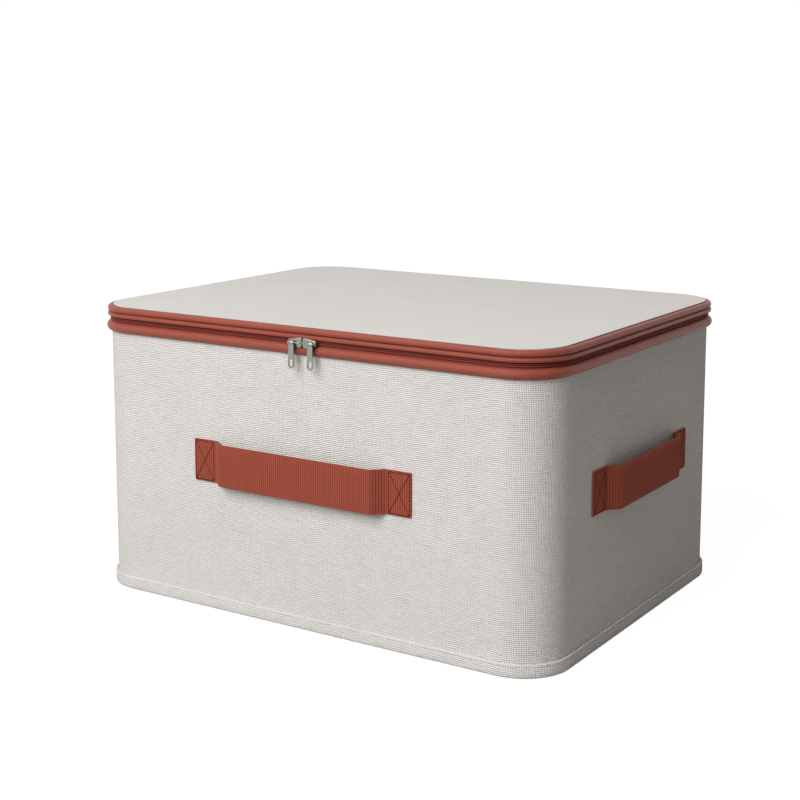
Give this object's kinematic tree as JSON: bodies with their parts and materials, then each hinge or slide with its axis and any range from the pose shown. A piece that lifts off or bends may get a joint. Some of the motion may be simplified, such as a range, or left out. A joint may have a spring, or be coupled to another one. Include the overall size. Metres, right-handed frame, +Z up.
{
  "type": "foldable storage box",
  "caption": "Foldable cloth storage box with hinged wall boards, a zipped lid that opens at the back, webbing handles and wire-stiffened rims.",
  "frame": {"origin": "on the floor under the middle of the box, midway between the outer faces of the wall cloth", "axes": "+X to the right along the long side, +Y to the back where the lid is hinged, +Z up; the front with the zip sliders faces -Y"},
  "size_m": [0.5238, 0.3969, 0.282],
  "materials": {
    "linen": "coarse off-white linen",
    "lid_cloth": "smooth off-white cloth",
    "lining": "smooth light grey lining",
    "trim": "rust-red woven binding",
    "webbing": "rust-red ribbed webbing",
    "zip": "dark red zip tape and coil",
    "board": "stiff plastic sheet",
    "frame_wire": "steel wire",
    "nickel": "bright nickel"
  },
  "bodies": {
    "base": {"bottom_cloth": "linen", "base_board": "board", "floor_lining": "lining", "base_welt": "linen", "base_wire": "frame_wire", "wall_lining": "lining", "front_left_corner_cloth": "linen", "front_right_corner_cloth": "linen", "back_left_corner_cloth": "linen", "back_right_corner_cloth": "linen"},
    "top_frame": {"rim_cloth": "linen", "rim_board": "board", "rim_binding": "trim", "rim_wire": "frame_wire", "body_zip_tape": "zip", "body_zip_coil": "zip", "back_hinge_cloth": "trim"},
    "lid": {"lid_top_cloth": "lid_cloth", "lid_board": "board", "lid_lining": "lining", "lid_piping": "trim", "lid_wire": "frame_wire", "lid_band": "trim", "lid_zip_tape": "zip", "lid_zip_coil": "zip"},
    "front_lower": {"front_lower_cloth": "linen", "front_lower_board": "board"},
    "front_grip": {"front_handle_grip": "webbing"},
    "front_upper": {"front_upper_cloth": "linen", "front_upper_board": "board", "front_handle_end_a": "webbing", "front_handle_end_b": "webbing", "front_handle_bend_a": "webbing", "front_handle_bend_b": "webbing"},
    "back_lower": {"back_lower_cloth": "linen", "back_lower_board": "board"},
    "back_upper": {"back_upper_cloth": "linen", "back_upper_board": "board"},
    "left_lower": {"left_lower_cloth": "linen", "left_lower_board": "board"},
    "left_grip": {"left_handle_grip": "webbing"},
    "left_upper": {"left_upper_cloth": "linen", "left_upper_board": "board", "left_handle_end_a": "webbing", "left_handle_end_b": "webbing", "left_handle_bend_a": "webbing", "left_handle_bend_b": "webbing"},
    "right_lower": {"right_lower_cloth": "linen", "right_lower_board": "board"},
    "right_grip": {"right_handle_grip": "webbing"},
    "right_upper": {"right_upper_cloth": "linen", "right_upper_board": "board", "right_handle_end_a": "webbing", "right_handle_end_b": "webbing", "right_handle_bend_a": "webbing", "right_handle_bend_b": "webbing"},
    "left_slider": {"left_slider": "nickel"},
    "left_pull": {"left_pull": "nickel"},
    "right_slider": {"right_slider": "nickel"},
    "right_pull": {"right_pull": "nickel"}
  },
  "joints": [
    {"name": "wall_fold", "type": "hinge", "parent": "base", "child": "front_lower", "pos_m": [0, -0.19, 0.0105], "axis": [-1, 0, 0], "range_deg": [0, 78], "deforming": ["wall_lining", "front_left_corner_cloth", "front_right_corner_cloth", "back_left_corner_cloth", "back_right_corner_cloth"]},
    {"name": "front_middle_fold", "type": "hinge", "parent": "front_lower", "child": "front_upper", "pos_m": [0, -0.19, 0.1175], "axis": [1, 0, 0], "range_deg": [0, 156]},
    {"name": "back_wall_fold", "type": "hinge", "parent": "base", "child": "back_lower", "pos_m": [0, 0.19, 0.0105], "axis": [1, 0, 0], "range_deg": [0, 78]},
    {"name": "back_middle_fold", "type": "hinge", "parent": "back_lower", "child": "back_upper", "pos_m": [0, 0.19, 0.1175], "axis": [-1, 0, 0], "range_deg": [0, 156]},
    {"name": "left_wall_fold", "type": "hinge", "parent": "base", "child": "left_lower", "pos_m": [-0.25, 0, 0.0105], "axis": [0, 1, 0], "range_deg": [0, 78]},
    {"name": "left_middle_fold", "type": "hinge", "parent": "left_lower", "child": "left_upper", "pos_m": [-0.25, 0, 0.1175], "axis": [0, -1, 0], "range_deg": [0, 156]},
    {"name": "right_wall_fold", "type": "hinge", "parent": "base", "child": "right_lower", "pos_m": [0.25, 0, 0.0105], "axis": [0, -1, 0], "range_deg": [0, 78]},
    {"name": "right_middle_fold", "type": "hinge", "parent": "right_lower", "child": "right_upper", "pos_m": [0.25, 0, 0.1175], "axis": [0, 1, 0], "range_deg": [0, 156]},
    {"name": "rim_fold", "type": "hinge", "parent": "front_upper", "child": "top_frame", "pos_m": [0, -0.19, 0.2245], "axis": [-1, 0, 0], "range_deg": [0, 78]},
    {"name": "front_grip_flatten", "type": "slide", "parent": "front_upper", "child": "front_grip", "axis": [0, 1, 0], "range_m": [0, 0.0096], "deforming": ["front_handle_bend_a", "front_handle_bend_b"]},
    {"name": "left_grip_flatten", "type": "slide", "parent": "left_upper", "child": "left_grip", "axis": [1, 0, 0], "range_m": [0, 0.0096], "deforming": ["left_handle_bend_a", "left_handle_bend_b"]},
    {"name": "right_grip_flatten", "type": "slide", "parent": "right_upper", "child": "right_grip", "axis": [-1, 0, 0], "range_m": [0, 0.0096], "deforming": ["right_handle_bend_a", "right_handle_bend_b"]},
    {"name": "lid_hinge", "type": "hinge", "parent": "top_frame", "child": "lid", "pos_m": [0, 0.195, 0.2684], "axis": [-1, 0, 0], "range_deg": [0, 180], "deforming": ["back_hinge_cloth"]},
    {"name": "left_slider_travel", "type": "slide", "parent": "top_frame", "child": "left_slider", "axis": [-1, 0, 0], "range_m": [0, 0.195]},
    {"name": "left_pull_swing", "type": "hinge", "parent": "left_slider", "child": "left_pull", "pos_m": [-0.0009, -0.199, 0.2684], "axis": [-1, 0, 0], "range_deg": [0, 160]},
    {"name": "right_slider_travel", "type": "slide", "parent": "top_frame", "child": "right_slider", "axis": [1, 0, 0], "range_m": [0, 0.178]},
    {"name": "right_pull_swing", "type": "hinge", "parent": "right_slider", "child": "right_pull", "pos_m": [0.0199, -0.199, 0.2684], "axis": [-1, 0, 0], "range_deg": [0, 160]}
  ],
  "couplings": [
    {"joint": "front_middle_fold", "follows": "wall_fold", "ratio": 2},
    {"joint": "back_wall_fold", "follows": "wall_fold", "ratio": 1},
    {"joint": "back_middle_fold", "follows": "wall_fold", "ratio": 2},
    {"joint": "left_wall_fold", "follows": "wall_fold", "ratio": 1},
    {"joint": "left_middle_fold", "follows": "wall_fold", "ratio": 2},
    {"joint": "right_wall_fold", "follows": "wall_fold", "ratio": 1},
    {"joint": "right_middle_fold", "follows": "wall_fold", "ratio": 2},
    {"joint": "rim_fold", "follows": "wall_fold", "ratio": 1},
    {"joint": "front_grip_flatten", "follows": "wall_fold", "m_per_rad": 0.007},
    {"joint": "left_grip_flatten", "follows": "wall_fold", "m_per_rad": 0.007},
    {"joint": "right_grip_flatten", "follows": "wall_fold", "m_per_rad": 0.007}
  ]
}
